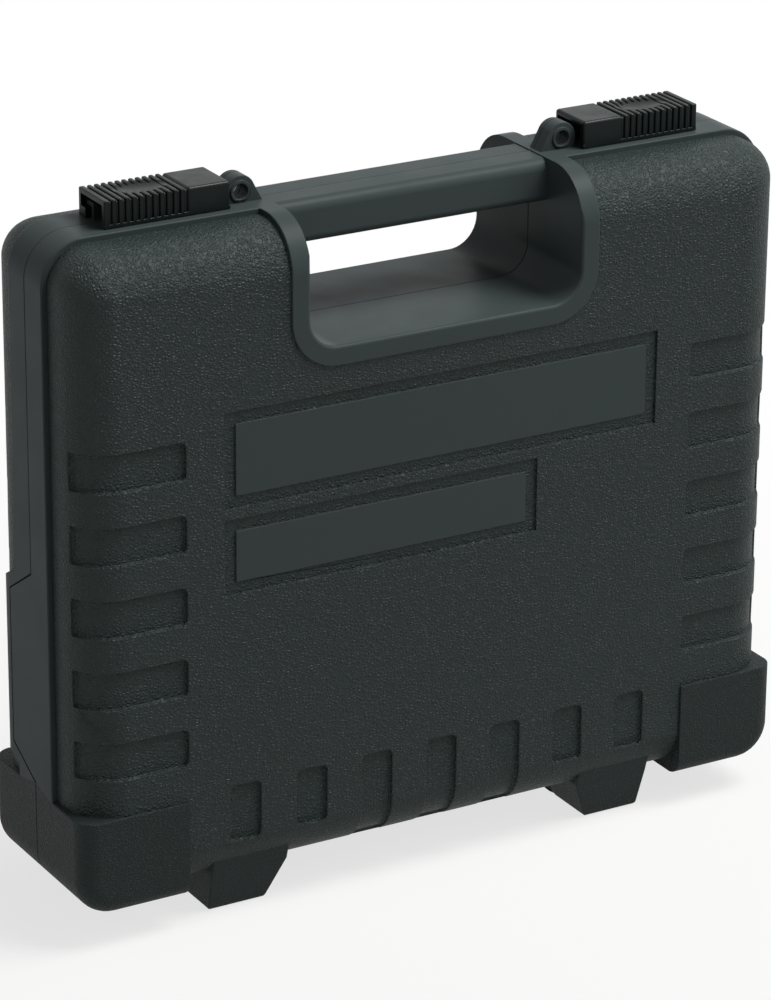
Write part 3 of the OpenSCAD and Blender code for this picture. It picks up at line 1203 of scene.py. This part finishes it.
def background_rays(tree: bpy.types.NodeTree) -> bpy.types.NodeSocket:
    """Picks out the rays that show the white background: straight, mirrored or through glass.

    Args:
        tree: The node tree that asks.

    Returns:
        One for such a ray and zero for a ray that lights the case.
    """
    path = add_node(tree, "LightPath")
    seen = path.outputs["Is Camera Ray"]
    for kind in ("Is Glossy Ray", "Is Transmission Ray"):
        both = add_node(tree, "Math", {"operation": "MAXIMUM"}, {0: seen, 1: path.outputs[kind]})
        seen = both.outputs[0]
    return seen


@dataclass
class Studio:
    """A pale floor, a white background and three soft lamps."""

    floor_side: float = 40.0
    paper: str = "#d2d2d0"
    shadow_reach: tuple[float, float] = (0.15, 0.75)
    shadow_lift: float = 0.72
    ambient: float = 0.2
    lid_heel: tuple[float, float, float] = (0.0, -0.0451, 0.0152)
    lid_top: tuple[float, float, float] = (0.0, -0.0451, 0.3276)
    lamps: tuple[SoftBox, ...] = (
        SoftBox("overhead_lamp", (0.8, -0.5, 1.9), (0.0, 0.0, 0.2), 1.0, 56.0),
        SoftBox("right_lamp", (1.9, -1.6, 1.5), (0.0, 0.0, 0.2), 1.4, 17.0),
        SoftBox("left_lamp", (-2.2, -0.3, 1.2), (0.0, 0.0, 0.2), 1.2, 1.0),
    )

    def floor_material(self) -> bpy.types.Material:
        """Matt white floor that the camera sees as white, apart from the case's own shadow.

        Returns:
            The floor's material.
        """
        material = empty_material("matt_studio_floor")
        tree = material.node_tree
        place = add_node(tree, "TexCoord").outputs["Object"]
        away = add_node(tree, "VectorMath", {"operation": "LENGTH"}, {0: place})
        # The shadow shows near the case, and the floor runs out into plain white behind it.
        fade = remap(
            tree,
            away.outputs["Value"],
            self.shadow_reach,
            (self.shadow_lift, 1.0),
            smooth=True,
        )
        lift = add_node(
            tree, "Math", {"operation": "MULTIPLY"}, {0: fade, 1: background_rays(tree)}
        )
        paper = add_node(
            tree, "BsdfDiffuse", {}, {"Color": linear(self.paper), "Roughness": 0.6}
        )
        glow = add_node(tree, "Emission", {}, {"Color": (1.0, 1.0, 1.0, 1.0), "Strength": 1.0})
        mix = add_node(
            tree,
            "MixShader",
            {},
            {0: lift.outputs[0], 1: paper.outputs[0], 2: glow.outputs[0]},
        )
        add_node(tree, "OutputMaterial", {}, {"Surface": mix.outputs[0]})
        return material

    def keep_under_lid(self, floor: bpy.types.Object) -> None:
        """Lets the floor sink where the lid swings below it, as if the standing case were held up.

        Args:
            floor: The floor, which lies at zero while the lid is shut.
        """
        for name, corner in (("heel", self.lid_heel), ("top", self.lid_top)):
            mark = bpy.data.objects.new(f"lid_{name}_mark", None)
            bpy.context.scene.collection.objects.link(mark)
            mark.parent = frame["bodies"]["lid"]
            mark.location = corner
            below = floor.constraints.new("FLOOR")
            below.target = mark
            below.floor_location = "FLOOR_NEGATIVE_Z"

    def world(self) -> None:
        """Grey surrounding light that the camera sees as white."""
        world = bpy.data.worlds.new("studio_world")
        world.use_nodes = True
        world.node_tree.nodes.clear()
        tree = world.node_tree
        strength = remap(tree, background_rays(tree), target=(self.ambient, 1.0))
        back = add_node(
            tree, "Background", {}, {"Color": (1.0, 1.0, 1.0, 1.0), "Strength": strength}
        )
        add_node(tree, "OutputWorld", {}, {"Surface": back.outputs["Background"]})
        bpy.context.scene.world = world

    def build(self) -> bpy.types.Object:
        """Lays the floor, hangs the lamps and sets the world.

        Returns:
            The floor object.
        """
        bpy.ops.object.select_all(action="DESELECT")
        bpy.ops.mesh.primitive_plane_add(size=self.floor_side, location=(0.0, 0.0, 0.0))
        floor = bpy.context.object
        floor.name = "studio_floor"
        floor.data.materials.append(self.floor_material())
        self.keep_under_lid(floor)
        for lamp in self.lamps:
            lamp.build()
        self.world()
        bpy.context.scene.view_settings.view_transform = "Standard"
        return floor


# ---- the whole case ------------------------------------------------------------------------


def main() -> None:
    """Builds the studio and every piece of the case."""
    logging.basicConfig(level=logging.INFO, format="%(name)s: %(message)s")
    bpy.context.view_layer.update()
    PhotoCamera().build()
    Studio().build()
    satin = SatinPolypropylene().material()
    leather = GrainedPolypropylene().material()
    fine = GrainedPolypropylene(
        "fine_grained_polypropylene",
        "#131c1b",
        0.54,
        specular=0.22,
        pebble=1.3 * MM,
        relief=0.3 * MM,
    ).material()
    acetal = MouldedAcetal().material()
    steel = GroundSteel().material()
    foam = OpenCellFoam("charcoal_foam", "#3c3f42", "#1d1f21").material()
    parts: list[Shell | SlideLatch | Foam] = []
    parts += [Shell(half, finishes=[satin, leather, fine]) for half in Half]
    parts += [SlideLatch(side, acetal) for side in Side]
    parts.append(Foam("base_foam_backing", "base", Cut.FLAT, foam))
    parts.append(Foam("base_foam_tray", "base", Cut.FLAT, foam))
    parts.append(Foam("lid_foam_pad", "lid", Cut.EGG_CRATE, foam))
    for part in parts:
        piece = part.dress(part.build())
        LOG.info("%s: %d faces", piece.name, len(piece.data.polygons))
    for name in ("hinge_pin_left", "hinge_pin_right"):
        pin = frame["nodes"][name]
        pin.data.materials.clear()
        pin.data.materials.append(steel)
        LOG.info("%s: ground steel on the CAD pin", name)


if __name__ == "__main__":
    main()
